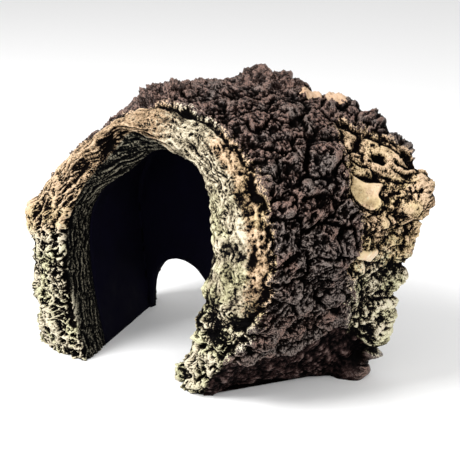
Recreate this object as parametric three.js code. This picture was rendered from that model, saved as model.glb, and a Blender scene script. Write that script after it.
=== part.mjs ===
// Resin cave ornament: a hollow arch covered in bark, which stands on the floor of a tank or a pond.
// Millimetres, +Z up. The tall front mouth faces -Y and the low rear exit faces +Y. Nothing on it moves.
//
// Every surface is placed by three numbers:
//   round  -1 at the left foot, 0 along the top, +1 at the right foot
//   deep    0 at the front edge of the wall, 1 at its back edge
//   inward  0 on the outer skin, 1 on the wall of the cave
import * as THREE from 'three';

const { lerp, smoothstep } = THREE.MathUtils;

// ---- Driving dimensions ------------------------------------------------------------------------

// Outer skin at the front edge and at the back edge. Each side reaches out from the top line by
// `reach`, is narrower at the foot by the share `taper`, is widest at the share `shoulder` of the
// height, and closes over the top as a superellipse of power `power`. The front edge leans back:
// it goes from `footY` on the ground to `topY`.
const FRONT = {
  topX: -15, height: 104, leftFootY: -34.3, rightFootY: -25.1, topY: -11.5,
  left: { reach: 59, taper: 0.11, bend: 1.0, shoulder: 0.47, power: 1.6 },
  right: { reach: 63, taper: 0.41, bend: 1.6, shoulder: 0.48, power: 2.1 },
};
const BACK = {
  topX: -7, height: 111, footY: 32.3, topY: 38.5,
  left: { reach: 70, taper: 0.10, bend: 1.0, shoulder: 0.50, power: 1.9 },
  right: { reach: 84, taper: 0.29, bend: 1.0, shoulder: 0.68, power: 2.0 },
};

// The front mouth, and the back end of the cave.
const MOUTH = {
  footX: -18.2, topX: -12.2, height: 95,
  leftFootY: -35.5, rightFootY: -20.3, topY: -13.5, rightSwell: 3.2,
  side: { reach: 35, taper: 0.47, bend: 1.5, shoulder: 0.58, power: 2.0 },
};
const CAVE_END = {
  topX: -7, height: 100, y: 23.3,
  left: { reach: 58, taper: 0.08, bend: 1.0, shoulder: 0.50, power: 1.9 },
  right: { reach: 73, taper: 0.29, bend: 1.0, shoulder: 0.68, power: 2.0 },
};

// Soft bumps of so many millimetres at a place round the arch: the brow hangs down over the mouth, the
// notch rises to the left of it, and the throat is where the ceiling comes down behind the mouth.
const BROW = { height: 5, place: 0.07, half: 0.12 };
const NOTCH = { height: 5, place: -0.15, half: 0.07 };
const THROAT = { height: 9.5, place: -0.17, half: 0.20 };
const THROAT_SIDEWAYS = 0.5;  // how far the throat also moves to the right, as a share of its drop

// The back corner of the right foot is drawn in by `depth`, up to the share `top` of the height.
const HEEL = { depth: 5, top: 0.35 };

// The low rear exit.
const EXIT = {
  x: -39, height: 29, outerY: 27,
  side: { reach: 21, taper: 0, bend: 1.0, shoulder: 0.25, power: 2.0 },
};

const RIM_SWELL = 4;          // how far the front rim swells forward between its two edges
const BACK_SWELL = 3.5;       // the same for the back wall, on its right and at the top
const SWELL_START = { from: -0.45, to: -0.15 };
const SKIN = 5;               // thickness of the bark over the inner shell
const GLUE_LINE = 0.36;       // clear space between neighbouring pieces
const LUMP = 1.5;             // height of the lumps on the outer skin

// Raised knobs and chips: clear space under them, thickness at their edge, and how far their corners
// are drawn in.
const KNOB_SEAT = 0.9;
const KNOB_EDGE = 1.2;
const KNOB_CORNER = 0.22;

// The waves that make the lumps, in radians per unit of round and of deep.
const LUMP_WAVES = [
  { round: 13, deep: 9 },
  { round: 29, deep: -14 },
  { round: 7, deep: 23 },
];

// Where the front rim ends, on the outer skin and inside the cave, and where the back wall starts.
const RIM_END_OUTSIDE = 0.08;
const RIM_END_INSIDE = 0.30;
const BACK_START = 0.86;

const ROUND_STEPS = 48;       // facets from foot to foot
const DEPTH_STEPS = 8;        // facets from the front edge to the back edge
const KNOB_STEPS = 6;
const DEPTH = 50;             // shortest distance from the front edge to the back edge
const GAP_DEEP = GLUE_LINE / DEPTH;
const ARC = 130;              // shortest length of one side, from foot to top
const GAP_ROUND = GLUE_LINE / ARC;

// ---- Surfaces ----------------------------------------------------------------------------------

// One side of an arch: how far out and how high a point lies, `rise` going from 0 (foot) to 1 (top).
function archSide(side, rise) {
  if (rise < 0.5) {
    const up = rise / 0.5;
    return { out: side.reach * (1 - side.taper * (1 - up) ** side.bend), high: side.shoulder * up };
  }
  const angle = (rise - 0.5) * Math.PI;
  const flat = 2 / side.power;
  return {
    out: side.reach * Math.max(Math.cos(angle), 0) ** flat,
    high: side.shoulder + (1 - side.shoulder) * Math.min(Math.sin(angle), 1) ** flat,
  };
}

function blendSides(a, b, deep) {
  const blended = {};
  for (const key of Object.keys(a)) blended[key] = lerp(a[key], b[key], deep);
  return blended;
}

function frontY(isLeft, high) {
  if (isLeft) return lerp(FRONT.leftFootY, FRONT.topY, high ** 3);
  return lerp(FRONT.rightFootY, FRONT.topY, high ** 2);
}

function mouthY(isLeft, high) {
  if (isLeft) return lerp(MOUTH.leftFootY, MOUTH.topY, high ** 3);
  const swell = MOUTH.rightSwell * Math.sin(Math.PI * high);
  return lerp(MOUTH.rightFootY, MOUTH.topY, high ** 3) - swell;
}

function bump(round, { height, place, half }) {
  return height * Math.exp(-(((round - place) / half) ** 2));
}

// The back edge of the outer skin.
function backY(isLeft, high) {
  const heel = isLeft ? 0 : HEEL.depth * Math.max(1 - high / HEEL.top, 0) ** 2;
  return lerp(BACK.footY, BACK.topY, high) - heel;
}

// The outer skin, without its lumps.
function outerSkin(round, deep) {
  const isLeft = round < 0;
  const key = isLeft ? 'left' : 'right';
  const { out, high } = archSide(blendSides(FRONT[key], BACK[key], deep), 1 - Math.abs(round));
  const x = lerp(FRONT.topX, BACK.topX, deep) + (isLeft ? -out : out);
  const y = lerp(frontY(isLeft, high), backY(isLeft, high), deep);
  return new THREE.Vector3(x, y, high * lerp(FRONT.height, BACK.height, deep));
}

// The edge of the front mouth.
function mouthEdge(round) {
  const isLeft = round < 0;
  const { out, high } = archSide(MOUTH.side, 1 - Math.abs(round));
  const x = lerp(MOUTH.footX, MOUTH.topX, high) + (isLeft ? -out : out);
  const z = high * MOUTH.height - bump(round, BROW) + bump(round, NOTCH);
  return new THREE.Vector3(x, mouthY(isLeft, high), z);
}

// The wall of the cave, from the mouth to the back wall.
function caveWall(round, deep) {
  const isLeft = round < 0;
  const { out, high } = archSide(isLeft ? CAVE_END.left : CAVE_END.right, 1 - Math.abs(round));
  const x = CAVE_END.topX + (isLeft ? -out : out);
  const point = mouthEdge(round).lerp(new THREE.Vector3(x, CAVE_END.y, high * CAVE_END.height), deep);
  const drop = bump(round, THROAT) * Math.sin(Math.PI * Math.sqrt(deep)) ** 2;
  point.x += THROAT_SIDEWAYS * drop;
  point.z -= drop;
  return point;
}

// The edge of the rear exit, at distance y.
function exitEdge(round, y) {
  const { out, high } = archSide(EXIT.side, 1 - Math.abs(round));
  return new THREE.Vector3(EXIT.x + (round < 0 ? -out : out), y, high * EXIT.height);
}

function lumps(round, deep) {
  const sum = LUMP_WAVES.reduce((total, wave) => {
    return total + Math.sin(wave.round * round + wave.deep * deep);
  }, 0);
  return LUMP * sum / LUMP_WAVES.length;
}

// A point in the wall.
function inWall(round, deep, inward) {
  return outerSkin(round, deep).lerp(caveWall(round, deep), inward);
}

// A point on the lumpy outside of the wall, or raised off it.
function onSkin(round, deep, raise = 0) {
  const point = outerSkin(round, deep);
  const outwards = point.clone().sub(caveWall(round, deep)).normalize();
  return point.addScaledVector(outwards, lumps(round, deep) + raise);
}

// The share of the wall's thickness that a distance in millimetres takes.
function share(round, deep, millimetres) {
  return millimetres / outerSkin(round, deep).distanceTo(caveWall(round, deep));
}

// Where the front rim ends at a given depth in the wall.
function rimEnd(inward) {
  return lerp(RIM_END_OUTSIDE, RIM_END_INSIDE, inward);
}

// ---- Closed bodies -----------------------------------------------------------------------------

function rangeSteps(from, to, count) {
  return Array.from({ length: count + 1 }, (_, i) => lerp(from, to, i / count));
}

function closedGeometry(points, triangles) {
  const geometry = new THREE.BufferGeometry();
  const volume = triangles.reduce((sum, [a, b, c]) => {
    return sum + points[a].dot(points[b].clone().cross(points[c])) / 6;
  }, 0);
  const outward = volume < 0 ? triangles.map(([a, b, c]) => [a, c, b]) : triangles;
  const numbers = points.flatMap((point) => point.toArray());
  geometry.setAttribute('position', new THREE.Float32BufferAttribute(numbers, 3));
  geometry.setIndex(outward.flat());
  geometry.computeVertexNormals();
  return geometry;
}

// A section carried from foot to foot. Each section is two chains of points that run side by side.
function arch(section) {
  const rings = rangeSteps(-1, 1, ROUND_STEPS).map((round) => {
    const { near, far } = section(round);
    return [...near, ...far.toReversed()];
  });
  const size = rings[0].length;
  const triangles = [];
  const quad = (a, b, c, d) => triangles.push([a, b, c], [a, c, d]);
  for (let i = 0; i < ROUND_STEPS; i++) {
    const [here, there] = [i * size, (i + 1) * size];
    for (let j = 0; j < size; j++) {
      const next = (j + 1) % size;
      quad(here + j, here + next, there + next, there + j);
    }
  }
  const lastRing = ROUND_STEPS * size;
  for (let j = 0; j < size / 2 - 1; j++) {
    const across = size - 1 - j;
    quad(j, across, across - 1, j + 1);
    quad(lastRing + j, lastRing + j + 1, lastRing + across - 1, lastRing + across);
  }
  return closedGeometry(rings.flat(), triangles);
}

// A plate between two surfaces that are both given by (column, row).
function plate(columns, rows, top, bottom) {
  const across = rows.length;
  const points = [];
  for (const surface of [top, bottom]) {
    for (const column of columns) {
      for (const row of rows) points.push(surface(column, row));
    }
  }
  const under = columns.length * across;
  const triangles = [];
  const quad = (a, b, c, d) => triangles.push([a, b, c], [a, c, d]);
  for (let i = 0; i < columns.length - 1; i++) {
    for (let j = 0; j < across - 1; j++) {
      const k = i * across + j;
      quad(k, k + across, k + across + 1, k + 1);
      quad(under + k, under + k + 1, under + k + across + 1, under + k + across);
    }
  }
  const last = (columns.length - 1) * across;
  for (let j = 0; j < across - 1; j++) {
    quad(j, j + 1, under + j + 1, under + j);
    quad(last + j + 1, last + j, under + last + j, under + last + j + 1);
  }
  for (let i = 0; i < columns.length - 1; i++) {
    const near = i * across;
    const far = near + across - 1;
    quad(near + across, near, under + near, under + near + across);
    quad(far, far + across, under + far + across, under + far);
  }
  return closedGeometry(points, triangles);
}

// ---- Pieces ------------------------------------------------------------------------------------

function piece(name, geometry, color, roughness) {
  const mesh = new THREE.Mesh(geometry, new THREE.MeshStandardMaterial({ color, roughness, metalness: 0 }));
  mesh.name = name;
  return mesh;
}

// The thick pale arch round the mouth.
function frontRim() {
  const across = rangeSteps(0, 1, 4);
  return arch((round) => ({
    near: across.map((inward) => {
      const point = inward ? inWall(round, 0, inward) : onSkin(round, 0);
      point.y -= RIM_SWELL * Math.sin(Math.PI * inward);
      return point;
    }),
    far: across.map((inward) => {
      return inward ? inWall(round, rimEnd(inward), inward) : onSkin(round, RIM_END_OUTSIDE);
    }),
  }));
}

// The smooth dark lining between the rim and the back wall.
function innerShell() {
  const end = BACK_START - GAP_DEEP;
  return arch((round) => {
    const first = share(round, RIM_END_OUTSIDE, SKIN + GLUE_LINE);
    return {
      near: rangeSteps(rimEnd(first) + 2 * GAP_DEEP, end, 4).map((deep) => {
        return inWall(round, deep, share(round, deep, SKIN + GLUE_LINE));
      }),
      far: rangeSteps(RIM_END_INSIDE + 2 * GAP_DEEP, end, 4).map((deep) => inWall(round, deep, 1)),
    };
  });
}

// The wall that closes the back, with the low exit in it.
function backWall() {
  const start = BACK_START + GAP_DEEP;
  const steps = rangeSteps(0, 1, 4);
  return arch((round) => {
    const [edge, exitOutside] = [onSkin(round, 1), exitEdge(round, EXIT.outerY)];
    const [caveEnd, exitInside] = [inWall(round, 1, 1), exitEdge(round, CAVE_END.y)];
    const swell = BACK_SWELL * smoothstep(round, SWELL_START.from, SWELL_START.to);
    const behind = steps.map((across) => {
      const point = edge.clone().lerp(exitOutside, across);
      point.y += (swell + lumps(2 * round, across)) * Math.sin(Math.PI * across);
      return point;
    });
    const inside = steps.map((across) => caveEnd.clone().lerp(exitInside, across));
    return {
      near: [onSkin(round, start), ...behind],
      far: [inWall(round, start, 1), ...inside],
    };
  });
}

// A plate of the outer skin, between two of the facet lines that run from front to back.
// Its front end follows the slanting back of the rim if it starts there.
function skinPlate(fromLine, toLine, fromDeep, toDeep) {
  const half = ROUND_STEPS / 2;
  const columns = rangeSteps(fromLine, toLine, toLine - fromLine).map((line) => line / half);
  if (fromLine > -half) columns[0] += GAP_ROUND / 2;
  if (toLine < half) columns[columns.length - 1] -= GAP_ROUND / 2;
  const rows = rangeSteps(0, 1, Math.max(2, Math.round((toDeep - fromDeep) * DEPTH_STEPS)));
  const startsAtRim = fromDeep === RIM_END_OUTSIDE;
  const at = (round, along, inward) => {
    const start = startsAtRim ? rimEnd(inward) + 2 * GAP_DEEP : fromDeep + GAP_DEEP;
    return lerp(start, toDeep - GAP_DEEP, along);
  };
  const top = (round, along) => onSkin(round, at(round, along, 0));
  const bottom = (round, along) => {
    const deep = at(round, along, share(round, fromDeep, SKIN));
    return inWall(round, deep, share(round, deep, SKIN));
  };
  return plate(columns, rows, top, bottom);
}

// A raised lump glued on top of the skin, highest in its middle.
function knob(round, deep, halfRound, halfDeep, height) {
  const steps = rangeSteps(-1, 1, KNOB_STEPS);
  const at = (a, b, raise) => {
    const corner = 1 - KNOB_CORNER * a * a * b * b;
    return onSkin(round + a * halfRound * corner, deep + b * halfDeep * corner, raise);
  };
  const crown = (a, b) => at(a, b, KNOB_EDGE + height * (1 - a ** 4) * (1 - b ** 4));
  return plate(steps, steps, crown, (a, b) => at(a, b, KNOB_SEAT));
}

const BARK = 0x3a2a26;
const DEEP_BARK = 0x2f2422;
const BACK_BARK = 0x6e6250;
const LIP = 0x3b2320;
const PALE = 0xcfc79a;
const PEACH = 0xdcb488;
const LINING = 0x14121a;

// Seams between the plates of bark and wood, as facet lines from the top (0) to a foot (24) and as
// shares of the depth.
const FOOT = ROUND_STEPS / 2;
const LEFT_SEAM = -8;
const RIGHT_SEAM = 5;
const SIDE_SEAM = 12;
const LIP_SEAM = 20;
const WOOD_SEAM = 0.56;

const group = new THREE.Group();
group.add(
  piece('front_rim', frontRim(), PALE, 0.6),
  piece('inner_shell', innerShell(), LINING, 0.8),
  piece('back_wall', backWall(), BACK_BARK, 0.65),
  piece('left_bark', skinPlate(-FOOT, LEFT_SEAM, RIM_END_OUTSIDE, BACK_START), DEEP_BARK, 0.5),
  piece('crown_bark', skinPlate(LEFT_SEAM, RIGHT_SEAM, RIM_END_OUTSIDE, BACK_START), BARK, 0.5),
  piece('side_bark_upper', skinPlate(RIGHT_SEAM, SIDE_SEAM, RIM_END_OUTSIDE, WOOD_SEAM), BARK, 0.45),
  piece('side_bark_lower', skinPlate(SIDE_SEAM, LIP_SEAM, RIM_END_OUTSIDE, WOOD_SEAM), DEEP_BARK, 0.45),
  piece('rear_wood', skinPlate(RIGHT_SEAM, LIP_SEAM, WOOD_SEAM, BACK_START), PALE, 0.6),
  piece('base_lip', skinPlate(LIP_SEAM, FOOT, RIM_END_OUTSIDE, BACK_START), LIP, 0.4),
  piece('front_knob', knob(-0.08, 0.28, 0.058, 0.14, 5), BARK, 0.5),
  piece('crown_knob', knob(0.03, 0.83, 0.062, 0.12, 4), BARK, 0.5),
  piece('pale_chip_left', knob(0.122, 0.88, 0.02, 0.06, 1.8), PEACH, 0.45),
  piece('pale_chip_right', knob(0.175, 0.90, 0.02, 0.05, 1.8), PEACH, 0.45),
);

export default group;
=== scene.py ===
"""Looks of the resin cave ornament: a hollow arch of dark bark with a pale, eroded mouth.

The whole sculpted surface is one numpy grid. Its first axis goes round the arch from foot to foot
(round, -1 left, 0 top, +1 right) and its second goes across the wall (across, see CHAIN). Each visible
piece but the cave's lining is a slice of that grid, closed behind, so that neighbouring pieces meet.
"""
import math

import bpy
import numpy as np
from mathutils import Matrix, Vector


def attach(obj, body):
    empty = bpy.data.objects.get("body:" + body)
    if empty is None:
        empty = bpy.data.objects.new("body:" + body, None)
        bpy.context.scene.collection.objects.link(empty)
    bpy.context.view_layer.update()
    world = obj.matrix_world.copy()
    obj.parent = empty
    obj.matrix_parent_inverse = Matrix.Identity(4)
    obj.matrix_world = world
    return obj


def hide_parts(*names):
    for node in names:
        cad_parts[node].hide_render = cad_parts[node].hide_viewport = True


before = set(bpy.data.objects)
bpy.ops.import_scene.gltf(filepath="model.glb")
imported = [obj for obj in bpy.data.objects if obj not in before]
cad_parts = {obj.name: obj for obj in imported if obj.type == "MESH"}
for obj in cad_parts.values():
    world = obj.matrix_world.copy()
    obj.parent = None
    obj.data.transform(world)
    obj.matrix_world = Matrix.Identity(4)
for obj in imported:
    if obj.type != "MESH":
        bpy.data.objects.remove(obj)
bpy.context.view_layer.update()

MM = 0.001
PREVIEW = 1.0   # share of the full number of columns and rows

# ---- Driving dimensions, in millimetres, as in the CAD model --------------------------------------

FRONT = {
    "top_x": -15, "height": 104, "left_foot_y": -34.3, "right_foot_y": -25.1, "top_y": -11.5,
    "left": (59, 0.11, 1.0, 0.47, 1.6),
    "right": (63, 0.41, 1.6, 0.48, 2.1),
}
BACK = {
    "top_x": -7, "height": 111, "foot_y": 32.3, "top_y": 38.5,
    "left": (70, 0.10, 1.0, 0.50, 1.9),
    "right": (84, 0.29, 1.0, 0.68, 2.0),
}
MOUTH = {
    "foot_x": -18.2, "top_x": -12.2, "height": 95,
    "left_foot_y": -35.5, "right_foot_y": -20.3, "top_y": -13.5, "right_swell": 3.2,
    "side": (35, 0.47, 1.5, 0.58, 2.0),
}
CAVE_END = {
    "top_x": -7, "height": 100, "y": 23.3,
    "left": (58, 0.08, 1.0, 0.50, 1.9),
    "right": (73, 0.29, 1.0, 0.68, 2.0),
}
EXIT = {"x": -39, "height": 29, "side": (21, 0.0, 1.0, 0.25, 2.0), "outer_y": 27.0, "inner_y": 25.0}
BROW = (5.0, 0.07, 0.12)      # the mouth's edge hangs down at the top: height, place round, half width
NOTCH = (5.0, -0.15, 0.07)    # and rises in a notch to the left of it
THROAT = (9.5, -0.17, 0.20)  # the ceiling comes down behind the mouth
HEEL = 5.0                    # the right foot's back corner is drawn in by this much
HEEL_HEIGHT = 0.35            # up to this share of the height
RIM_SWELL = 4.0
BACK_SWELL = 3.5
REVEAL = 0.30                 # how far into the cave, as a share of its depth, the mouth's edge reaches
SIDE_LENGTH = 135.0           # roughly, from foot to top along the rim
SKIN_DEPTH = 62               # roughly, from the front edge of the skin to its back edge
CAVE_MIDDLE = np.array([-10.0, 5.0, 35.0])

# Seams between pieces, as shares of the skin's depth and of its way round.
RIM_SEAM = 0.07
BACK_SEAM = 0.86
WOOD_SEAM = 0.56
LEFT_SEAM = -8 / 24
TOP_SEAM = 5 / 24
MIDDLE_SEAM = 12 / 24
LIP_SEAM = 19.4 / 24


# ---- Noise ---------------------------------------------------------------------------------------

def scrambled(ix, iy, iz, seed):
    """A 32-bit hash of integer cell coordinates."""
    with np.errstate(over="ignore"):
        h = (ix.astype(np.uint32) * np.uint32(374761393) + iy.astype(np.uint32) * np.uint32(668265263)
             + iz.astype(np.uint32) * np.uint32(2246822519) + np.uint32(seed * 40503 + 977))
        h = (h ^ (h >> np.uint32(13))) * np.uint32(1274126177)
        h = (h ^ (h >> np.uint32(15))) * np.uint32(2654435761)
    return h ^ (h >> np.uint32(16))


def unit(h, shift):
    """Ten bits of a hash as a number from 0 to 1."""
    return ((h >> np.uint32(shift)) & np.uint32(1023)).astype(np.float32) / 1023.0


def noise(p, seed=0):
    """Gradient noise of points p (..., 3), from about -1 to 1."""
    p = p.astype(np.float32)
    low = np.floor(p)
    f = p - low
    low = low.astype(np.int64)
    ease = f * f * f * (f * (f * 6 - 15) + 10)
    total = np.zeros(p.shape[:-1], np.float32)
    for dx in (0, 1):
        wx = ease[..., 0] if dx else 1 - ease[..., 0]
        for dy in (0, 1):
            wy = ease[..., 1] if dy else 1 - ease[..., 1]
            for dz in (0, 1):
                wz = ease[..., 2] if dz else 1 - ease[..., 2]
                h = scrambled(low[..., 0] + dx, low[..., 1] + dy, low[..., 2] + dz, seed)
                slope = ((unit(h, 0) * 2 - 1) * (f[..., 0] - dx) + (unit(h, 10) * 2 - 1) * (f[..., 1] - dy)
                         + (unit(h, 20) * 2 - 1) * (f[..., 2] - dz))
                total += wx * wy * wz * slope
    return total * 1.5


def fbm(p, size, octaves, seed=0, gain=0.5):
    total, height = 0, 1.0
    for octave in range(octaves):
        total = total + height * noise(p / size, seed + octave)
        size, height = size / 2.03, height * gain
    return total


def ridged(p, size, octaves, seed=0, gain=0.5):
    """Sharp crests near 1, valleys towards -1."""
    total, height, most = 0, 1.0, 0
    for octave in range(octaves):
        total = total + height * (1 - 2 * np.abs(noise(p / size, seed + octave)) * 1.6)
        most += height
        size, height = size / 2.03, height * gain
    return total / most


def cells(u, v, seed=0, jitter=0.85):
    """2D cells: distances to the two nearest centres, the cell's hash, the offset from its centre."""
    iu, iv = np.floor(u).astype(np.int64), np.floor(v).astype(np.int64)
    near = np.full(u.shape, 9.0, np.float32)
    second = near.copy()
    which = np.zeros(u.shape, np.uint32)
    du, dv = np.zeros(u.shape, np.float32), np.zeros(u.shape, np.float32)
    for a in (-1, 0, 1):
        for b in (-1, 0, 1):
            h = scrambled(iu + a, iv + b, np.zeros_like(iu), seed)
            cu = iu + a + 0.5 + (unit(h, 0) - 0.5) * jitter
            cv = iv + b + 0.5 + (unit(h, 10) - 0.5) * jitter
            d = np.hypot(u - cu, v - cv).astype(np.float32)
            closer = d < near
            second = np.where(closer, near, np.minimum(second, d))
            which = np.where(closer, h, which)
            du, dv = np.where(closer, u - cu, du), np.where(closer, v - cv, dv)
            near = np.where(closer, d, near)
    return near, second, which, du, dv


def step(low, high, x):
    """Smooth step from 0 at low to 1 at high; low may be above high."""
    t = np.clip((x - low) / (high - low), 0, 1)
    return t * t * (3 - 2 * t)


def blurred(grid, sigma, axis):
    """Gaussian blur of a grid along one axis, with its ends held."""
    radius = max(1, int(3 * sigma))
    taps = np.exp(-0.5 * (np.arange(-radius, radius + 1) / sigma) ** 2)
    taps /= taps.sum()
    edge = [(0, 0)] * grid.ndim
    edge[axis] = (radius, radius)
    wide = np.pad(grid, edge, mode="edge")
    count = grid.shape[axis]
    out = np.zeros_like(grid)
    for k, tap in enumerate(taps):
        window = [slice(None)] * grid.ndim
        window[axis] = slice(k, k + count)
        out += tap * wide[tuple(window)]
    return out


def blur2(grid, sigma):
    return blurred(blurred(grid, sigma, 0), sigma, 1)


# ---- Base surfaces ---------------------------------------------------------------------------------

def lerp(a, b, t):
    return a + (b - a) * t


def arch_side(side, rise):
    """How far out and how high (0 to 1) a side is; side is reach, taper, bend, shoulder, power."""
    reach, taper, bend, shoulder, power = side
    up = np.clip(rise / 0.5, 0, 1)
    straight = reach * (1 - taper * (1 - up) ** bend)
    angle = np.clip(rise - 0.5, 0, 0.5) * np.pi
    out = np.where(rise < 0.5, straight, reach * np.clip(np.cos(angle), 0, 1) ** (2 / power))
    arched = shoulder + (1 - shoulder) * np.clip(np.sin(angle), 0, 1) ** (2 / power)
    high = np.where(rise < 0.5, shoulder * up, arched)
    return out, high


def both_sides(round_, left, right):
    """The signed reach and the height of an arch whose sides differ."""
    rise = 1 - np.abs(round_)
    out_left, high_left = arch_side(left, rise)
    out_right, high_right = arch_side(right, rise)
    is_left = round_ < 0
    return np.where(is_left, -out_left, out_right), np.where(is_left, high_left, high_right)


def outer_skin(round_, deep):
    left = [lerp(a, b, deep) for a, b in zip(FRONT["left"], BACK["left"])]
    right = [lerp(a, b, deep) for a, b in zip(FRONT["right"], BACK["right"])]
    out, high = both_sides(round_, left, right)
    front_left = lerp(FRONT["left_foot_y"], FRONT["top_y"], high ** 3)
    front_right = lerp(FRONT["right_foot_y"], FRONT["top_y"], high ** 2)
    front = np.where(round_ < 0, front_left, front_right)
    heel = np.where(round_ > 0, HEEL * np.clip(1 - high / HEEL_HEIGHT, 0, 1) ** 2, 0)
    y = lerp(front, lerp(BACK["foot_y"], BACK["top_y"], high) - heel, deep)
    x = lerp(FRONT["top_x"], BACK["top_x"], deep) + out
    return np.stack([x, y, high * lerp(FRONT["height"], BACK["height"], deep)], -1)


def mouth_edge(round_):
    out, high = both_sides(round_, MOUTH["side"], MOUTH["side"])
    left = lerp(MOUTH["left_foot_y"], MOUTH["top_y"], high ** 3)
    right = lerp(MOUTH["right_foot_y"], MOUTH["top_y"], high ** 3)
    right = right - MOUTH["right_swell"] * np.sin(np.pi * high)
    x = lerp(MOUTH["foot_x"], MOUTH["top_x"], high) + out
    arched = high * MOUTH["height"] - dip(round_, BROW) + dip(round_, NOTCH)
    return np.stack([x, np.where(round_ < 0, left, right), arched], -1)


def dip(round_, place):
    """A soft bump of some millimetres at a place round the arch."""
    height, centre, half = place
    return height * np.exp(-((round_ - centre) / half) ** 2)


def cave_wall(round_, deep):
    out, high = both_sides(round_, CAVE_END["left"], CAVE_END["right"])
    end = np.stack([CAVE_END["top_x"] + out, CAVE_END["y"] + 0 * out, high * CAVE_END["height"]], -1)
    wall = lerp(mouth_edge(round_), end, deep[..., None])
    sag = dip(round_, THROAT) * np.sin(np.pi * np.clip(deep, 0, 1) ** 0.5) ** 2
    wall[..., 0] += 0.5 * sag
    wall[..., 2] -= sag
    return wall


def exit_edge(round_, y):
    out, high = both_sides(round_, EXIT["side"], EXIT["side"])
    return np.stack([EXIT["x"] + out, y + 0 * out, high * EXIT["height"]], -1)


# The wall's cross section as one chain of stretches. `across` runs from -2 to 3:
#   -2 to -1 the reveal inside the mouth, -1 to 0 the face of the rim, 0 to 1 the outer skin,
#    1 to 2 the back wall, 2 to 3 the thickness of the exit
# Each stretch is (from, to, number of rows).
CHAIN = ((-2, -1, 44), (-1, 0, 72), (0, 1, 176), (1, 2, 130), (2, 3, 8))
COLUMNS = 780
ROW_MM = 0.38 / PREVIEW    # about the distance between rows and between columns


def chain_point(round_, across):
    """The base surface at (round, across), two arrays of one shape."""
    reveal = cave_wall(round_, np.clip(-1 - across, 0, 1) * REVEAL)
    face_t = np.clip(across + 1, 0, 1)[..., None]
    face = lerp(mouth_edge(round_), outer_skin(round_, 0 * round_), face_t)
    face[..., 1] -= RIM_SWELL * np.sin(np.pi * face_t[..., 0])
    skin = outer_skin(round_, np.clip(across, 0, 1))
    behind_t = np.clip(across - 1, 0, 1)[..., None]
    behind = lerp(outer_skin(round_, 0 * round_ + 1), exit_edge(round_, EXIT["outer_y"]), behind_t)
    behind[..., 1] += BACK_SWELL * np.sin(np.pi * behind_t[..., 0]) * step(-0.45, -0.15, round_)
    exit_y = lerp(EXIT["outer_y"], EXIT["inner_y"], np.clip(across - 2, 0, 1))
    thickness = exit_edge(round_, exit_y)
    point = np.where((across < -1)[..., None], reveal, face)
    point = np.where((across >= 0)[..., None], skin, point)
    point = np.where((across >= 1)[..., None], behind, point)
    return np.where((across >= 2)[..., None], thickness, point)


def rows_of_chain():
    rows = []
    for low, high, count in CHAIN:
        count = int(count * PREVIEW)
        rows.extend(np.linspace(low, high, count, endpoint=False))
    return np.array([*rows, CHAIN[-1][1]])


rounds = np.linspace(-1, 1, int(COLUMNS * PREVIEW) | 1)    # odd, so that one column runs along the top
acrosses = rows_of_chain()
ROUND, ACROSS = np.meshgrid(rounds, acrosses, indexing="ij")

# The seams wander, so the pieces' edges are ragged as the real colour changes are.
lattice = np.stack([ROUND * SIDE_LENGTH, ACROSS * 55, 0 * ROUND], -1)
on_skin = step(-0.02, 0.06, ACROSS) * step(1.05, 0.9, ACROSS)
inland = step(1.0, 0.96, np.abs(ROUND))
ROUND_W = ROUND + inland * on_skin * (0.022 * fbm(lattice, 17, 3, 11) + 0.006 * fbm(lattice, 4, 2, 12))
ACROSS_W = ACROSS + on_skin * (0.075 * fbm(lattice, 16, 3, 13) + 0.03 * fbm(lattice, 4, 2, 14))
ACROSS_W = np.where(on_skin > 0, np.clip(ACROSS_W, 0, 1), ACROSS_W)

base = chain_point(ROUND_W, ACROSS_W)
base = blurred(base, 2.0 / ROW_MM, 1)
base[1:-1] = blurred(base, 1.6 / ROW_MM, 0)[1:-1]


def grid_normals(points):
    along, over = np.gradient(points, axis=0), np.gradient(points, axis=1)
    normal = np.cross(along, over)
    return normal / np.maximum(np.linalg.norm(normal, axis=-1, keepdims=True), 1e-9)


normals = grid_normals(base)
facing = (normals * (base - CAVE_MIDDLE)).sum(-1)
if facing[:, (acrosses > 0) & (acrosses < 1)].mean() < 0:
    normals = -normals
near_ground = step(0, 5, base[..., 2])
normals[..., 2] *= near_ground

# Distances along the surface: round it, and across it from the front edge of the skin.
across_mm = np.cumsum(np.linalg.norm(np.diff(base, axis=1, prepend=base[:, :1]), axis=-1), axis=1)
front_row = int(np.argmin(np.abs(acrosses)))
across_mm -= across_mm[:, front_row:front_row + 1]
across_mm = blurred(across_mm, 6, 0)
round_mm = ROUND * SIDE_LENGTH


# ---- Regions ---------------------------------------------------------------------------------------

A, C = ROUND, ACROSS
edge_noise = fbm(base, 7, 3, 31)
fleck = fbm(base, 2.2, 3, 32)


def along(values):
    """A value that changes round the arch, given at places from the left foot (-1) to the right (1)."""
    places, levels = zip(*values)
    return np.interp(A, places, levels).astype(np.float32)


is_reveal = step(-0.97, -1.06, C + 0.03 * edge_noise)

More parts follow.
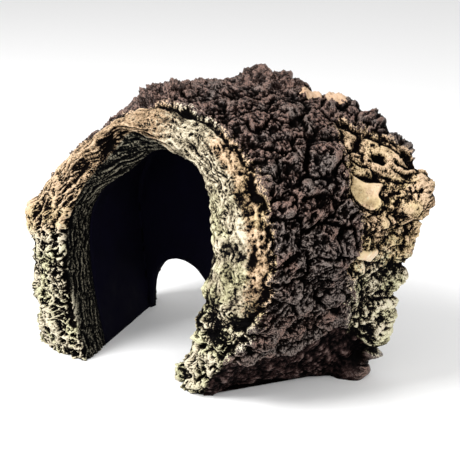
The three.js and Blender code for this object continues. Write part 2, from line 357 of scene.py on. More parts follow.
# How far, in millimetres, a point lies inside the pale paint.
rim_width = along([(-1, 2), (-0.5, 3), (-0.25, 5), (-0.1, 4.5), (0.05, 3), (0.15, 3), (0.3, 2), (0.5, 0.5),
                   (0.7, -1.5), (0.8, -4.5), (1, -3)])
in_rim = rim_width - across_mm
wood_front = along([(0.2, 0.74), (0.27, 0.64), (0.38, 0.56), (0.45, 0.60), (0.55, 0.50), (0.75, 0.66),
                    (0.9, 0.80)])
wood_foot = np.interp(C, (0.5, 0.8, 1.0), (0.82, 0.86, 0.92))
wood_top = np.interp(C, (0.55, 0.75, 0.9, 1.0), (0.27, 0.22, 0.29, 0.38))
PER_ROUND = 120    # rough millimetres for one unit of round, which set how ragged the wood's edges are
in_wood = np.minimum((C - wood_front) * SKIN_DEPTH, (A - wood_top) * PER_ROUND)
in_wood = np.minimum(in_wood, (wood_foot - A) * PER_ROUND)
# The wood goes round the back corner on the right, and there is pale rock round the exit.
in_behind = np.minimum((1.28 - C) * 40, (A - 0.38) * PER_ROUND)
in_behind = np.minimum(in_behind, (0.92 - A) * PER_ROUND)
in_exit_rim = (C - 1.80) * 60 + 3 * edge_noise
in_wood = np.where(C > 1.0, np.maximum(in_behind, in_exit_rim), in_wood)
in_pale = np.maximum(in_rim, in_wood) + 1.5 * edge_noise
in_pale = np.clip(in_pale, -12, 12)
is_rim = step(-1.2, 1.2, in_rim + 1.5 * edge_noise) * (1 - is_reveal)
is_wood = step(-1.0, 1.0, in_wood + 1.5 * edge_noise) * (1 - is_rim)
is_lip = step(-0.012, 0.02, A - LIP_SEAM + 0.02 * edge_noise) * step(-2, 0, -in_pale) * step(1.0, 0.93, C)
is_bark = np.clip(1 - is_reveal - is_rim - is_wood - is_lip, 0, 1)
is_crown = step(0.12, -0.04, A) * step(-0.45, -0.30, A)


# ---- Relief ----------------------------------------------------------------------------------------

def billow(p, size, octaves, seed=0, gain=0.5):
    """Rounded bumps with sharp creases between them, from about -1 to 1."""
    total, height, most = 0, 1.0, 0
    for octave in range(octaves):
        total = total + height * (np.abs(noise(p / size, seed + octave)) * 3.4 - 1)
        most += height
        size, height = size / 2.03, height * gain
    return total / most


def plates(u, v, seed, tilt, crevice):
    """Plates with tilted tops, 0 to about 2 high; crevice is the gaps' width as a share of a plate."""
    near, second, which, du, dv = cells(u, v, seed)
    gap = step(0.0, crevice, second - near)
    tall = unit(which, 5)
    turn = unit(which, 15) * 2 * np.pi
    slant = du * np.cos(turn) + dv * np.sin(turn)
    dome = 1 - step(0.2, 0.9, near)
    return gap * (0.25 + 0.8 * tall + tilt * slant + 0.6 * dome)


def pits(size, share, seed):
    """Small round holes: 1 in a hole, 0 outside."""
    near, _, which, _, _ = cells(round_mm / size + 0.4 * edge_noise, across_mm / size + 0.4 * fleck, seed)
    wide = 0.16 + 0.22 * unit(which, 14)
    return step(wide + 0.1, wide - 0.06, near) * (unit(which, 4) < share)


fine = 0.20 * ridged(base, 1.5, 2, 64) + 0.20 * noise(base / 0.8, 66)
# A slow sideways drift, which bends creases and makes ledges hang over a little.
drift = np.stack([noise(base / 6, 101), noise(base / 6, 102), 0.6 * noise(base / 6, 103)], -1)


def ledges(field, tilt=0.35):
    """Stacked flakes: a smooth field cut into tilted steps, one unit high each."""
    level = np.floor(field)
    part = field - level
    return level + step(0.0, 0.16, part) - tilt * part


def shards(u, v, sizes, seed):
    """Bark: plates with smaller ones on them. A size is (along u, along v, height, tilt, crevice)."""
    total = 0
    for index, (long, wide, height, tilt, crevice) in enumerate(sizes):
        bend_u = 0.45 * long * fbm(base, 1.3 * long, 2, seed + 10 * index + 1)
        bend_v = 0.35 * wide * fbm(base, 1.3 * long, 2, seed + 10 * index + 2)
        layer = plates((u + bend_u) / long, (v + bend_v) / wide, seed + 10 * index, tilt, crevice)
        total = total + height * layer
    return total


def bark_relief():
    """Oval chunks with flat chips on the right, long splinters over the crown."""
    chunk_sizes = ((8.6, 13.0, 1.45, 1.3, 0.22), (4.4, 6.4, 0.80, 1.4, 0.05), (2.0, 3.1, 0.45, 1.5, 0.04))
    splinter_sizes = ((15.0, 6.2, 1.4, 1.1, 0.22), (8.0, 2.7, 0.75, 1.3, 0.06), (3.6, 1.4, 0.45, 1.4, 0.05))
    slanted = across_mm + 0.45 * round_mm
    chunks = shards(round_mm, across_mm, chunk_sizes, 200)
    splinters = shards(round_mm, slanted, splinter_sizes, 240)
    flow = np.stack([round_mm / lerp(0.8, 3.4, is_crown), slanted, 0.3 * base[..., 2]], -1)
    flakes = ledges(2.4 * fbm(flow + drift, 7.0, 3, 55, 0.5))
    crinkle = ridged(base, 2.2, 3, 61, 0.6)
    grain = np.stack([round_mm / lerp(0.9, 3.0, is_crown), slanted / lerp(3.2, 0.9, is_crown), 0 * A], -1)
    crinkle += 0.5 * noise(grain, 63)
    broken = lerp(chunks, splinters, is_crown)
    return broken + 0.70 * flakes + 0.45 * crinkle + 1.5 * fine - 0.7 - 0.2 * is_crown


def net(size, seed):
    """A net of thin raised lines, up to 1 high, round small hollows, down to -0.5."""
    u = (0.8 * round_mm + 0.6 * across_mm) / size + 0.55 * fbm(base, 1.6 * size, 2, seed + 1)
    v = (0.8 * across_mm - 0.6 * round_mm) / size + 0.55 * fbm(base, 1.6 * size, 2, seed + 2)
    near, second, which, _, _ = cells(u, v, seed)
    lines = step(0.30, 0.0, second - near) * (0.45 + 0.55 * unit(which, 7))
    return lines - 0.5 * step(0.5, 0.1, near) * unit(which, 3)


def rim_relief():
    """Eroded pale wood: veins on the left, layers at the top, smooth on the right, burls at its foot."""
    rough = along([(-1, 1), (-0.75, 1), (-0.5, 0.85), (-0.42, 0.6), (-0.3, 0.35), (-0.15, 0.10), (0.1, 0.18),
                   (0.3, 0.30), (0.6, 0.22), (0.68, 0.7), (0.8, 1), (1, 1)])
    layered = along([(-1, 0.1), (-0.6, 0.3), (-0.4, 0.8), (-0.2, 0.9), (0.0, 1), (0.15, 0.8), (0.3, 0.4),
                     (1, 0.2)])
    wavy = base + 2.2 * np.stack([noise(base / 5, 71), noise(base / 5, 72), noise(base / 5, 73)], -1)
    down = np.stack([round_mm / 1.7, across_mm, 0 * A], -1)
    down = down + 3.0 * np.stack([noise(base / 7, 171), noise(base / 7, 172), 0 * A], -1)
    crests = ridged(down, 12.0, 2, 70, 0.45)
    between_crests = step(0.80, 0.40, crests)
    veins = 0.75 * crests + between_crests * (1.0 * net(5.2, 301) + 0.60 * net(2.3, 311) - 0.5)
    burls = 0.75 * billow(wavy, 9.5, 3, 70, 0.5) + 0.65 * billow(wavy, 4.2, 4, 74, 0.62)
    burls = lerp(veins, burls, step(-0.2, 0.2, A))
    bent = across_mm + 3.6 * fbm(base, 12, 2, 76)
    stretched = np.stack([round_mm / 6.0, bent, 0 * A], -1)
    layers = ridged(stretched, 4.2, 2, 77, 0.4)
    lumps = fbm(base, 13, 2, 75) * 1.4
    holes = pits(1.7, 0.24, 78) * lerp(0.32, 0.8, rough)
    holes = holes + pits(5.6, 0.62, 79) * 2.6 * step(0.62, 1, rough)
    height = lerp(1.35, 2.2, step(-0.3, 0.0, A))
    small = fine * lerp(0.25, 1.2, rough)
    return lumps + height * rough * burls + 0.9 * layered * layers + small - holes


def smooth_patch(round_, across, turn, length, narrow, wide):
    """A flat chip of wood, narrow at its start: its mask, and how far along it a point is (0 to 1)."""
    du, dv = (A - round_) * SIDE_LENGTH, (C - across) * SKIN_DEPTH
    forth = (du * math.cos(turn) + dv * math.sin(turn)) / length
    aside = (dv * math.cos(turn) - du * math.sin(turn)) / lerp(narrow, wide, np.clip(forth, 0, 1))
    outside = (np.abs(2 * forth - 1) ** 6 + np.abs(aside) ** 6) ** (1 / 6) + 0.10 * edge_noise
    return step(1.06, 0.96, outside), forth


plate, plate_along = smooth_patch(0.345, 0.550, 0.85, 15.5, 1.6, 6.4)
splinter, _ = smooth_patch(0.522, 0.510, 0.85, 14.0, 0.6, 2.4)
smooth_plate = np.maximum(plate, splinter)


def wood_relief():
    """Bare wood: rounded fingers, a knot, two smooth chips, and burls lower down."""
    bend = 2.2 * fbm(base, 11, 2, 81)
    forward = (round_mm + across_mm) * 0.707
    sideways = (round_mm - across_mm) * 0.707 + bend
    near, second, which, _, _ = cells(forward / 15.0, sideways / 4.4, 82)
    fingers = 1.45 * np.sqrt(step(0.03, 0.50, second - near)) * (0.35 + 1.05 * unit(which, 4))
    burl_near, _, burl_id, _, _ = cells((round_mm + bend) / 8.0, (across_mm - bend) / 7.5, 83)
    burls = np.sqrt(step(0.9, 0.1, burl_near)) * (0.3 + 0.9 * unit(burl_id, 6))
    low_down = step(0.36, 0.48, A)
    wavy = base + 2.0 * np.stack([noise(base / 5, 84), noise(base / 5, 85), noise(base / 5, 86)], -1)
    rough = billow(wavy, 6.0, 4, 87, 0.6)
    relief = lerp(2.3 * fingers, 2.5 * burls, low_down) + 1.2 * rough * lerp(0.35, 1, low_down)
    relief = lerp(relief, 2.6 - 0.9 * plate_along + 0.5 * edge_noise, plate)
    relief = lerp(relief, 2.4, splinter)
    knot = np.hypot((A - 0.32) * 130, (C - 0.80) * 42) + 0.7 * edge_noise
    relief = lerp(relief, 2.2, 0.8 * step(4.2, 2.8, knot)) - 3.0 * step(2.1, 0.9, knot)
    holes = pits(2.2, 0.28, 88) * 0.8 * (1 - smooth_plate)
    return relief - holes - 1.0 + fine * lerp(1.2, 0.3, smooth_plate)


def reveal_relief():
    stretched = np.stack([round_mm / 4.0, across_mm, 0 * A], -1)
    return 0.9 * ridged(stretched + drift, 2.6, 3, 91, 0.6) * step(-2.0, -1.7, C) + 0.8 * fine


def lip_relief():
    folds = billow(base + 2 * drift, 9.0, 4, 94, 0.5)
    return 1.0 * folds + 0.7 * fbm(base, 6, 4, 95, 0.6) + 0.25 * ridged(base, 2.6, 3, 96) + 0.4 * fine


swell = fbm(base, 26, 2, 99) * 1.3

weights = [is_bark, is_rim, is_wood, is_lip, is_reveal]
reliefs = [bark_relief() + 0.8, rim_relief(), wood_relief(), lip_relief(), reveal_relief()]
relief = sum(w * r for w, r in zip(weights, reliefs)) / np.maximum(sum(weights), 1e-6)
relief += swell * (1 - is_reveal)

# Burls and dents that show in the outline: place round, place across, and then in millimetres their
# height, their size round and their size across.
FEATURES = (
    (-0.43, -0.08, 3.0, 5, 6),       # the burl that stands out furthest on the left
    (-0.56, -0.10, -3.4, 8, 8),      # the hollow below it
    (-0.66, -0.20, -4.0, 10, 9),
    (-0.74, 0.00, -1.5, 6, 7),
    (-0.82, -0.08, -1.6, 6, 7),
    (-0.22, -0.05, -1.5, 10, 6),
    (-1.00, -0.55, -1.8, 6, 8),
    (-0.60, -0.90, 1.8, 22, 2.2),    # the crest down the front of the left leg
    (-0.82, -0.60, 1.2, 14, 3.0),
    (-0.31, 0.12, -2.4, 6, 7),       # the shoulder behind the rim on the left
    (-0.20, 0.12, -3.0, 8, 7),
    (-0.12, 0.55, -2.2, 6, 6),       # the notch behind the front block
    (-0.09, 0.97, -3.2, 9, 10),      # the saddle in front of the crown block
    (-0.04, 0.75, -1.8, 8, 18),
    (0.105, 0.70, -1.8, 6, 6),
    (0.12, 1.00, -3.0, 5, 10),       # the seat of the pale chips
    (0.215, 1.00, 1.8, 4, 9),        # bark chunks on the back edge
    (0.36, 1.00, -1.7, 7, 9),
    (0.60, -0.97, 1.6, 5, 4),        # burls on the inner edge of the right leg
    (0.66, -0.97, -2.0, 3.5, 4),
    (0.46, 1.00, 5.2, 9, 12),        # burls along the back edge on the right
    (0.61, 1.00, 2.2, 6, 8),
    (0.665, 1.00, -1.6, 4, 7),
    (0.70, 1.00, 2.8, 6, 8),
    (0.75, 1.00, 2.6, 5, 8),
    (0.81, 1.00, 4.4, 7, 9),
    (0.87, 1.00, 5.2, 7, 9),
    (0.99, 1.00, 4.4, 6, 9),         # the corner at the ground
    (0.73, 0.68, 2.2, 3, 3),         # a small pale knob low down
)
# On the right the bark meets the rim without a step.
shoulder = np.exp(-((in_rim + 1.0) / 6.0) ** 2) * step(0.05, 0.18, A) * step(0.75, 0.6, A)
relief += 0.85 * shoulder * (1.6 - blur2(relief, 7))

# The relief is low inside the exit, at its edge, beside it on the left, at the ground behind the right
# foot, and along the sharp back corner on the left, which would draw it out into ribs.
calm = step(3.0, 2.2, C) * 0.85 + 0.15
calm *= 1 - 0.95 * step(1.80, 1.97, C)
calm *= 1 - 0.75 * step(1.25, 1.5, C) * step(-0.2, -0.45, A)
calm *= 1 - 0.6 * step(0.90, 0.98, A) * step(0.8, 0.95, C)
calm *= 1 - 0.7 * np.exp(-((C - 1.02) / 0.09) ** 2) * step(-0.35, -0.5, A)
relief *= calm
for around, over, height, long, wide in FEATURES:
    centre = across_mm[int(np.argmin(np.abs(rounds - around))), int(np.argmin(np.abs(acrosses - over)))]
    distance = np.hypot((A - around) * SIDE_LENGTH / long, (across_mm - centre) / wide)
    relief += height * step(1.35, 0.1, distance + 0.12 * edge_noise)

# A bump moves the surface out along its normal.
drift *= (near_ground * (1 - is_reveal) * calm)[..., None]
surface = base + normals * relief[..., None] + 1.1 * drift
surface[..., 2] = np.maximum(surface[..., 2], 0)

# The ground line is a little arched between the feet on the right.
lift = 3.2 * step(0.93, 1.0, A) * np.sqrt(np.sin(np.pi * np.clip((C - 0.04) / 0.84, 0, 1)).clip(0, 1))
surface[..., 2] += lift


# ---- Paint masks ------------------------------------------------------------------------------------

def above(sigma_mm):
    """How far a point stands above its surroundings."""
    return relief - blur2(relief, sigma_mm / ROW_MM)


# Cavity is 0 in the hollows and 1 on the crests, at three scales.
sharper = 1 + 0.45 * is_rim * step(-0.2, -0.4, A)
cavity = 0.22 * above(0.6) / 0.30 + 0.22 * above(1.6) / 0.8 + lerp(0.24, 0.28, is_bark) * above(4.5) / 1.6
cavity = 0.5 + cavity * sharper
# The pale paint is darker near the feet and in blotches of black wash; under the mouth's brow the darkening
# is painted shade.
wash_and_shade = along([(-1, 3.0), (-0.6, 2.1), (-0.5, 1.1), (-0.38, 0.2), (-0.2, 0.0), (0.1, 0.0), (0.2, 0.1),
              (0.4, 0.1), (0.6, 0.4), (0.7, 1.6), (0.85, 1.6), (1, 1.5)])
# Painted shade on the inner edge of the rim under the mouth's brow.
shade_under_brow = step(-0.40, -0.25, A) * step(0.02, -0.10, A) * step(-0.45, -0.75, C + 0.1 * edge_noise)
wash_and_shade = np.where(C < 0.2, np.maximum(wash_and_shade, 1.2 * shade_under_brow), 0.6 + 0.35 * step(0.55, 0.75, A))
blotches = step(-0.05, 0.45, fbm(base, 10, 3, 97))
cavity -= (0.10 * wash_and_shade + 0.34 * wash_and_shade * blotches) * np.clip(is_rim + is_wood, 0, 1)
# Less of it is left on the smooth chips, and on the outer part of the rim on the upper left.
cavity += 0.25 * smooth_plate * is_wood
cavity += 0.09 * is_rim * step(-0.58, -0.46, A) * step(-0.12, -0.26, A) * step(-0.75, -0.45, C)
cavity = np.clip(cavity, 0, 1)

tan_side = step(-0.42, -0.12, C) * step(0.08, 0.2, A) * step(0.75, 0.5, A)
tan_left = step(-0.62, -0.45, A) * step(0.15, -0.05, A)
tan_back = step(0.8, 0.9, C) * step(0.45, 0.55, A) * step(0.7, 0.6, A)
smoothness = along([(-1, 0), (-0.3, 0.1), (-0.15, 0.8), (0.1, 0.5), (0.35, 0.8), (0.62, 0.9), (0.68, 0.3),
                    (1, 0)])
# What each point of the grid carries into the materials, which read these by name.
paint = {
    "in_pale": in_pale,
    "lip": is_lip,
    "reveal": is_reveal,
    "cavity": cavity,
    "tan": np.clip(0.85 * tan_side + 0.8 * tan_left + 0.3 * tan_back, 0, 1) * (C < 1.3),
    "smooth": smoothness * is_rim + 1.6 * smooth_plate * is_wood,
    # Where the bark is painted warmer and lighter on top of the arch: partly its own tone, partly painted
    # top light.
    "crown": step(0.5, 0.1, np.abs(A + 0.05)),
}


# ---- Meshes ----------------------------------------------------------------------------------------

def make_object(name, vertices, faces, attributes):
    mesh = bpy.data.meshes.new(name)
    mesh.from_pydata((vertices * MM).tolist(), [], faces)
    for key, values in attributes.items():
        layer = mesh.attributes.new(key, "FLOAT", "POINT")
        layer.data.foreach_set("value", values.astype(np.float32))
    mesh.polygons.foreach_set("use_smooth", np.full(len(mesh.polygons), True))
    mesh.update()
    ob = bpy.data.objects.new(name, mesh)
    bpy.context.scene.collection.objects.link(ob)
    return ob


def tube(ring):
    """The quads of a tube whose rings are the rows of a (count, size) grid, and the two ends' faces."""
    count, size = ring.shape[:2]
    index = np.arange(count * size).reshape(count, size)
    turned = np.roll(index, -1, axis=1)
    quads = np.stack([index[:-1], turned[:-1], turned[1:], index[1:]], -1).reshape(-1, 4)
    return quads, [index[0][::-1].tolist(), index[-1].tolist()]


def closed_slice(name, columns, rows, hidden, points=surface, masks=paint):
    """A closed piece from a slice of the grid. hidden is a list of (columns, 3) arrays, which lead behind
    the piece from the slice's last row back to its first."""
    front = points[columns, rows]
    ring = np.concatenate([front, np.stack(hidden, 1)], 1) if hidden else front
    quads, ends = tube(ring)
    faces = quads.tolist() + ends
    vertices = ring.reshape(-1, 3)
    a, b, c, d = (vertices[quads[:, k]] for k in range(4))
    volume = (np.einsum("ij,ij->i", a, np.cross(b, c)) + np.einsum("ij,ij->i", a, np.cross(c, d))).sum()
    if volume < 0:
        faces = [face[::-1] for face in faces]
    attributes = {}
    for key, values in masks.items():
        part = values[columns, rows]
        unseen = np.repeat(part[:, :1] * 0, len(hidden), axis=1)
        attributes[key] = np.concatenate([part, unseen], 1).ravel()
    return make_object(name, vertices, faces, attributes)


def columns_between(low, high):
    return slice(int(np.argmin(np.abs(rounds - low))), int(np.argmin(np.abs(rounds - high))) + 1)


def rows_between(low, high):
    return slice(int(np.argmin(np.abs(acrosses - low))), int(np.argmin(np.abs(acrosses - high))) + 1)


PLATE_DEPTH = 5.0
KNOB_DEPTH = 3.0


def behind(columns, rows, depth):
    """Points behind the last and the first row of a slice of the base grid."""
    return [base[columns, row] - normals[columns, row] * depth for row in (rows.stop - 1, rows.start)]


def plate_piece(name, low, high, front, back):
    columns, rows = columns_between(low, high), rows_between(front, back)
    return closed_slice(name, columns, rows, behind(columns, rows, PLATE_DEPTH))


def knob_piece(name, round_, across, half_round, half_across, height, seed, dark):
    """A raised block: a patch of the surface lifted into a craggy lump whose edges sink under the skin."""
    columns = columns_between(round_ - half_round * 1.25, round_ + half_round * 1.25)
    rows = rows_between(across - half_across * 1.25, across + half_across * 1.25)
    a = (A[columns, rows] - round_) / half_round
    c = (C[columns, rows] - across) / half_across
    here = base[columns, rows]
    ragged = 0.22 * fbm(here, 6, 4, seed, 0.6)
    radius = (np.abs(a) ** 3 + np.abs(c) ** 3) ** (1 / 3) + ragged
    block = step(1.15, 0.62, radius)
    up = normals[columns, rows]
    skin = lerp(surface[columns, rows], here + 1.5 * up, 0.6)
    lumps = 0.9 * fbm(here, 8, 3, seed + 9)
    raised = skin + up * (block * (height + lumps) - 2.2 * (1 - block))[..., None]
    craggy = ledges(2.4 * fbm(raised, 6.0, 3, seed + 3))
    craggy = 0.7 * craggy + 0.9 * ridged(raised, 3.0, 4, seed + 5, 0.62) + 0.25 * noise(raised / 0.8, seed)
    craggy *= 1 if dark else 0.4
    outward = raised - raised.mean((0, 1))
    outward /= np.linalg.norm(outward, axis=-1, keepdims=True)
    lifted = surface.copy()
    lifted[columns, rows] = raised + (0.7 * up + 0.5 * outward) * (craggy * (0.3 + 0.7 * block))[..., None]
    stands_out = craggy - blur2(craggy, 1.6 / ROW_MM)
    # The blocks are painted lighter than the skin (cavity from 0.76 up) and, with crown at 1.8, warmer: on
    # the dark blocks this is painted top light.
    own_paint = {
        "in_pale": -9 if dark else 9, "smooth": 0 if dark else 1, "tan": 0 if dark else 0.4,
        "lip": 0, "reveal": 0, "crown": 1.8, "cavity": np.clip(0.76 + 0.36 * stands_out, 0, 1),
    }
    local = {key: values.copy() for key, values in paint.items()}
    for key, value in own_paint.items():
        local[key][columns, rows] = value
    return closed_slice(name, columns, rows, behind(columns, rows, KNOB_DEPTH), lifted, local)


def lining():
    """The smooth inside of the cave, from the mouth's reveal to the exit, with a plain hidden back."""
    few = np.linspace(-1, 1, 161)
    deeps = np.linspace(REVEAL, 1, 24)
    r, d = np.meshgrid(few, deeps, indexing="ij")
    walls = cave_wall(r, d)
    across = np.linspace(0, 1, 12)[1:]
    end = cave_wall(few, np.ones_like(few))
    narrower = np.array([0.97, 1, 0.97])
    middle_of_exit = np.array([EXIT["x"], 0, 0])
    way_out = exit_edge(few, np.full_like(few, CAVE_END["y"])) - middle_of_exit
    way_out = way_out * narrower + middle_of_exit
    back = lerp(end[:, None], way_out[:, None], across[None, :, None])
    outside = way_out + np.array([0, EXIT["outer_y"] - 0.3 - CAVE_END["y"], 0])
    inside = np.concatenate([walls, back, outside[:, None]], 1)
    rough = 0.35 * fbm(inside, 9, 3, 111)
    wall_normal = grid_normals(inside)
    inwards = CAVE_MIDDLE - inside
    sign = np.sign((wall_normal * inwards).sum(-1).mean())
    inside = inside + sign * wall_normal * rough[..., None]
    inside[..., 2] = np.maximum(inside[..., 2], 0)
    inside[0, :, 2] = 0
    inside[-1, :, 2] = 0
    thick = [exit_edge(few, np.full_like(few, EXIT["inner_y"] - 0.4))]
    thick.append(lerp(outer_skin(few, np.full_like(few, 0.9)), end, 0.5))
    mouth_end = cave_wall(few, np.full_like(few, REVEAL))
    thick.append(lerp(outer_skin(few, np.full_like(few, 0.22)), mouth_end, 0.6))
    ring = np.concatenate([inside, np.stack(thick, 1)], 1)
    quads, ends = tube(ring)
    return make_object("inner_shell_skin", ring.reshape(-1, 3), quads.tolist() + ends, {})


# ---- Materials -------------------------------------------------------------------------------------

class Nodes:
    """Short ways to build a node tree."""

    def __init__(self, name):
        self.material = bpy.data.materials.new(name)
        self.material.use_nodes = True
        self.tree = self.material.node_tree
        self.shader = self.tree.nodes["Principled BSDF"]

    def add(self, kind, **inputs):
        node = self.tree.nodes.new(kind)
        for key, value in inputs.items():
            if hasattr(node, key) and key not in node.inputs:
                setattr(node, key, value)
            elif isinstance(value, bpy.types.NodeSocket):
                self.tree.links.new(value, node.inputs[key])
            else:
                node.inputs[key].default_value = value
        return node

    def attribute(self, name):
        return self.add("ShaderNodeAttribute", attribute_name=name).outputs["Fac"]

    def noise(self, scale, detail=4.0, roughness=0.6):
        place = self.add("ShaderNodeTexCoord").outputs["Object"]
        node = self.add("ShaderNodeTexNoise", Vector=place, Scale=scale, Detail=detail, Roughness=roughness)
        return node.outputs["Fac"]

    def math(self, operation, a, b=0.0, clamp=False):
        node = self.tree.nodes.new("ShaderNodeMath")
        node.operation, node.use_clamp = operation, clamp
        for socket, value in zip(node.inputs, (a, b)):
            if isinstance(value, bpy.types.NodeSocket):
                self.tree.links.new(value, socket)
            else:
                socket.default_value = value
        return node.outputs[0]

    def between(self, value, low, high):
        """0 at low, 1 at high, smooth."""
        node = self.tree.nodes.new("ShaderNodeMapRange")
        node.interpolation_type = "SMOOTHSTEP"
        self.tree.links.new(value, node.inputs["Value"])
        node.inputs["From Min"].default_value = low
        node.inputs["From Max"].default_value = high
        return node.outputs["Result"]

    def ramp(self, value, stops):
        node = self.tree.nodes.new("ShaderNodeValToRGB")
        self.tree.links.new(value, node.inputs["Fac"])
        elements = node.color_ramp.elements
        while len(elements) < len(stops):
            elements.new(0.5)
        for element, (at, color) in zip(elements, stops):
            element.position, element.color = at, (*color, 1)
        return node.outputs["Color"]

    def mix(self, factor, a, b, blend="MIX"):
        node = self.tree.nodes.new("ShaderNodeMix")
        node.data_type, node.blend_type = "RGBA", blend
        sockets = {"Factor": node.inputs[0], "A": node.inputs[6], "B": node.inputs[7]}
        for key, value in {"Factor": factor, "A": a, "B": b}.items():
            if isinstance(value, bpy.types.NodeSocket):
                self.tree.links.new(value, sockets[key])
            elif key == "Factor":
                sockets[key].default_value = value
            else:
                sockets[key].default_value = (*value, 1)
        return node.outputs[2]

    def finish(self, color, roughness, bump, strength, gloss=None):
        if gloss is not None:
            self.tree.links.new(gloss, self.shader.inputs["Specular IOR Level"])
        self.tree.links.new(color, self.shader.inputs["Base Color"])
        self.tree.links.new(roughness, self.shader.inputs["Roughness"])
        node = self.add("ShaderNodeBump", Height=bump, Strength=strength, Distance=0.0006)
        self.tree.links.new(node.outputs["Normal"], self.shader.inputs["Normal"])
        return self.material


# Colours from the bottom of a hollow to the top of a crest, as (cavity, linear RGB).
BARK_STOPS = [(0.30, (0.0009, 0.0007, 0.0006)), (0.54, (0.0044, 0.0026, 0.0023)),
              (0.78, (0.0125, 0.0080, 0.0066)), (0.91, (0.037, 0.026, 0.0215)), (1.0, (0.17, 0.135, 0.118))]
PALE_STOPS = [(0.33, (0.0018, 0.0015, 0.0018)), (0.42, (0.022, 0.017, 0.013)), (0.50, (0.16, 0.132, 0.088)),
              (0.66, (0.38, 0.325, 0.225)), (0.95, (0.70, 0.63, 0.48))]
PEACH_STOPS = [(0.20, (0.02, 0.012, 0.01)), (0.36, (0.22, 0.12, 0.07)), (0.60, (0.44, 0.28, 0.17)),
               (0.95, (0.58, 0.42, 0.29))]
LIP_STOPS = [(0.32, (0.0010, 0.0007, 0.0008)), (0.54, (0.009, 0.0052, 0.005)), (0.75, (0.030, 0.015, 0.013)),
             (0.98, (0.11, 0.07, 0.06))]
REVEAL_STOPS = [(0.46, (0.0010, 0.0010, 0.0014)), (0.68, (0.012, 0.0115, 0.009)), (0.95, (0.20, 0.18, 0.13))]


def painted_resin(name, pale_stops):
    """Hand-painted resin: bark or pale wood, with a black wash in the hollows, dry-brushed crests, painted
    glints on the bark and painted top light on the crown.
    """
    n = Nodes(name)
    cavity, lip, reveal = n.attribute("cavity"), n.attribute("lip"), n.attribute("reveal")
    tan, smooth = n.attribute("tan"), n.attribute("smooth")
    tiny, speck, blotch = n.noise(2100, 2.0, 0.6), n.noise(800, 3.0, 0.7), n.noise(110, 4.0, 0.55)

    # The two paints meet in a dry-brushed, speckled line.
    spread = n.math("ADD", n.math("MULTIPLY", n.math("SUBTRACT", speck, 0.5), 12.0),
                    n.math("MULTIPLY", n.math("SUBTRACT", tiny, 0.5), 8.0))
    pale = n.between(n.math("ADD", n.attribute("in_pale"), spread), -0.6, 0.6)

    grain = n.math("ADD", n.math("MULTIPLY", n.math("SUBTRACT", speck, 0.5), 0.6),
                   n.math("MULTIPLY", n.math("SUBTRACT", tiny, 0.5), 1.3))
    worn = n.math("ADD", cavity, grain)
    bark = n.ramp(worn, BARK_STOPS)
    # Warm blotches are the bark's own tone; the extra warmth on the crown and on the dark blocks is painted
    # top light.
    warm_tone_and_top_light = n.between(n.math("ADD", blotch, n.math("MULTIPLY", n.attribute("crown"), 0.12)), 0.42, 0.66)
    bark = n.mix(warm_tone_and_top_light, bark, (1.25, 0.95, 0.86), "MULTIPLY")

    # Tiny light grey specks on the bark: painted glints that stand in for the sparkle of its gloss.
    painted_glints = n.between(n.noise(2600, 1.0, 0.5), 0.60, 0.68)
    painted_glints = n.math("MULTIPLY", painted_glints, n.between(cavity, 0.35, 0.75))
    bark = n.mix(n.math("MULTIPLY", painted_glints, 0.55), bark, (0.15, 0.13, 0.12))

    calmer = n.math("SUBTRACT", 1.35, n.math("MULTIPLY", smooth, 0.9))
    calmer = n.math("MAXIMUM", calmer, 0.3)
    worn_wood = n.math("ADD", cavity, n.math("MULTIPLY", grain, calmer))
    dots = n.between(n.noise(1250, 1.0, 0.5), 0.655, 0.70)
    covered = n.math("ADD", worn_wood, n.math("MULTIPLY", smooth, 0.12))
    covered = n.math("SUBTRACT", covered, n.math("MULTIPLY", dots, 0.3))
    wood = n.ramp(covered, pale_stops)
    mottle = n.math("ADD", n.math("MULTIPLY", n.math("SUBTRACT", speck, 0.5), 1.6), tan)
    mottle = n.between(mottle, 0.35, 0.8)
    wood = n.mix(n.math("MULTIPLY", mottle, 0.85), wood, (0.92, 0.70, 0.58), "MULTIPLY")
    off_crown = n.math("SUBTRACT", 0.7, n.attribute("crown"))
    greenish = n.math("MULTIPLY", n.between(blotch, 0.42, 0.62), off_crown, clamp=True)
    wood = n.mix(greenish, wood, (0.90, 1.0, 0.80), "MULTIPLY")

    reddish = n.ramp(n.math("ADD", cavity, n.math("MULTIPLY", grain, 0.5)), LIP_STOPS)
    grey = n.ramp(worn, REVEAL_STOPS)
    color = n.mix(pale, bark, wood)
    color = n.mix(lip, color, reddish)
    color = n.mix(reveal, color, grey)
    roughness = n.math("ADD", n.math("ADD", 0.38, n.math("MULTIPLY", pale, 0.25)),
                       n.math("MULTIPLY", n.math("SUBTRACT", speck, 0.5), 0.3))
    gloss = n.math("ADD", 0.01, n.math("MULTIPLY", n.between(worn, 0.62, 0.95), 0.22))
    return n.finish(color, roughness, n.math("ADD", speck, tiny), 0.5, gloss)


def lining_material():
    n = Nodes("cave_lining_black")
    soft = n.noise(60, 3.0)
    # Near-black and a little blue, darker than any paint: partly the inside's own black coat, partly painted
    # shade of the cave.
    color = n.ramp(soft, [(0.3, (0.0010, 0.0008, 0.0036)), (0.7, (0.0020, 0.0016, 0.0062))])
    n.shader.inputs["Specular IOR Level"].default_value = 0.04
    return n.finish(color, n.math("ADD", soft, 0.4), soft, 0.1)


MATERIALS = {
    "dark_bark": painted_resin("dark_bark_paint", PALE_STOPS),
    "pale_wood": painted_resin("pale_wood_paint", PALE_STOPS),
    "back_bark": painted_resin("back_bark_paint", PALE_STOPS),
    "base_lip": painted_resin("base_lip_paint", PALE_STOPS),
    "peach_wood": painted_resin("peach_wood_paint", PEACH_STOPS),
    "cave_lining": lining_material(),
}


# ---- Pieces ----------------------------------------------------------------------------------------

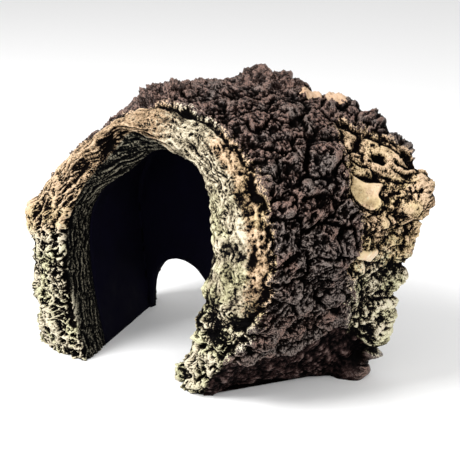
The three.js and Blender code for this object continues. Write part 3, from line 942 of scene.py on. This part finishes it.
def place(piece, node, slot):
    piece.data.materials.append(MATERIALS[slot])
    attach(piece, "root")
    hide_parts(node)


everything = slice(0, len(rounds))
place(closed_slice("front_rim_wood", everything, rows_between(-2, RIM_SEAM), []), "front_rim", "pale_wood")
place(lining(), "inner_shell", "cave_lining")
place(closed_slice("back_wall_bark", everything, rows_between(BACK_SEAM, 3), []), "back_wall", "back_bark")

# The plates of the skin: name, node, slot, from and to round the arch, from and to across it.
for name, node, slot, *edges in (
    ("left_side_bark", "left_bark", "dark_bark", -1, LEFT_SEAM, RIM_SEAM, BACK_SEAM),
    ("crown_saddle_bark", "crown_bark", "dark_bark", LEFT_SEAM, TOP_SEAM, RIM_SEAM, BACK_SEAM),
    ("side_chunks_upper", "side_bark_upper", "dark_bark", TOP_SEAM, MIDDLE_SEAM, RIM_SEAM, WOOD_SEAM),
    ("side_chunks_lower", "side_bark_lower", "dark_bark", MIDDLE_SEAM, LIP_SEAM, RIM_SEAM, WOOD_SEAM),
    ("rear_bare_wood", "rear_wood", "pale_wood", TOP_SEAM, LIP_SEAM, WOOD_SEAM, BACK_SEAM),
    ("base_lip_right", "base_lip", "base_lip", LIP_SEAM, 1, RIM_SEAM, BACK_SEAM),
):
    place(plate_piece(name, *edges), node, slot)

# The blocks: name, node, slot, place round and across, half size round and across, height in
# millimetres, and a seed.
for name, node, slot, *shape in (
    ("front_block", "front_knob", "dark_bark", -0.080, 0.28, 0.058, 0.20, 4.2, 121),
    ("crown_block", "crown_knob", "dark_bark", 0.035, 0.87, 0.068, 0.17, 2.4, 131),
    ("pale_chip_a", "pale_chip_left", "peach_wood", 0.112, 0.86, 0.032, 0.12, 1.0, 141),
    ("pale_chip_b", "pale_chip_right", "peach_wood", 0.162, 0.95, 0.030, 0.06, 1.0, 151),
):
    place(knob_piece(name, *shape, dark=slot == "dark_bark"), node, slot)


# ---- Camera, floor and light -------------------------------------------------------------------------

CAMERA_AZIMUTH = math.radians(42)
CAMERA_ELEVATION = math.radians(18)
CAMERA_DISTANCE = 0.4344
AIM = Vector((0.0030, 0.0085, 0.0547))


def add_camera():
    data = bpy.data.cameras.new("camera")
    data.lens, data.sensor_width = 85, 36
    data.clip_start, data.clip_end = 0.01, 20
    camera = bpy.data.objects.new("camera", data)
    flat = math.cos(CAMERA_ELEVATION)
    back = Vector((math.sin(CAMERA_AZIMUTH) * flat, -math.cos(CAMERA_AZIMUTH) * flat,
                   math.sin(CAMERA_ELEVATION)))
    camera.location = AIM + back * CAMERA_DISTANCE
    camera.rotation_euler = (-back).to_track_quat("-Z", "Y").to_euler()
    bpy.context.scene.collection.objects.link(camera)
    bpy.context.scene.camera = camera


def add_floor():
    size = 3.0
    corners = [(-size, -size, 0), (size, -size, 0), (size, size, 0), (-size, size, 0)]
    mesh = bpy.data.meshes.new("floor")
    mesh.from_pydata(corners, [], [(0, 1, 2, 3)])
    floor = bpy.data.objects.new("floor", mesh)
    material = bpy.data.materials.new("floor_white")
    material.use_nodes = True
    shader = material.node_tree.nodes["Principled BSDF"]
    shader.inputs["Base Color"].default_value = (0.93, 0.93, 0.93, 1)
    shader.inputs["Roughness"].default_value = 0.9
    mesh.materials.append(material)
    bpy.context.scene.collection.objects.link(floor)


def add_light(name, position, size, power):
    data = bpy.data.lights.new(name, "AREA")
    data.size, data.energy = size, power
    light = bpy.data.objects.new(name, data)
    light.location = Vector(position)
    light.rotation_euler = (AIM - light.location).to_track_quat("-Z", "Y").to_euler()
    bpy.context.scene.collection.objects.link(light)


def add_world():
    world = bpy.data.worlds.new("studio")
    bpy.context.scene.world = world
    world.use_nodes = True
    background = world.node_tree.nodes["Background"]
    background.inputs["Color"].default_value = (1, 1, 1, 1)
    background.inputs["Strength"].default_value = 0.75


add_camera()
add_floor()
add_world()
add_light("key", (-0.35, -0.62, 0.75), 0.45, 11.5)
add_light("fill", (0.75, -0.45, 0.45), 0.5, 4.0)
bpy.context.scene.view_settings.view_transform = "Standard"
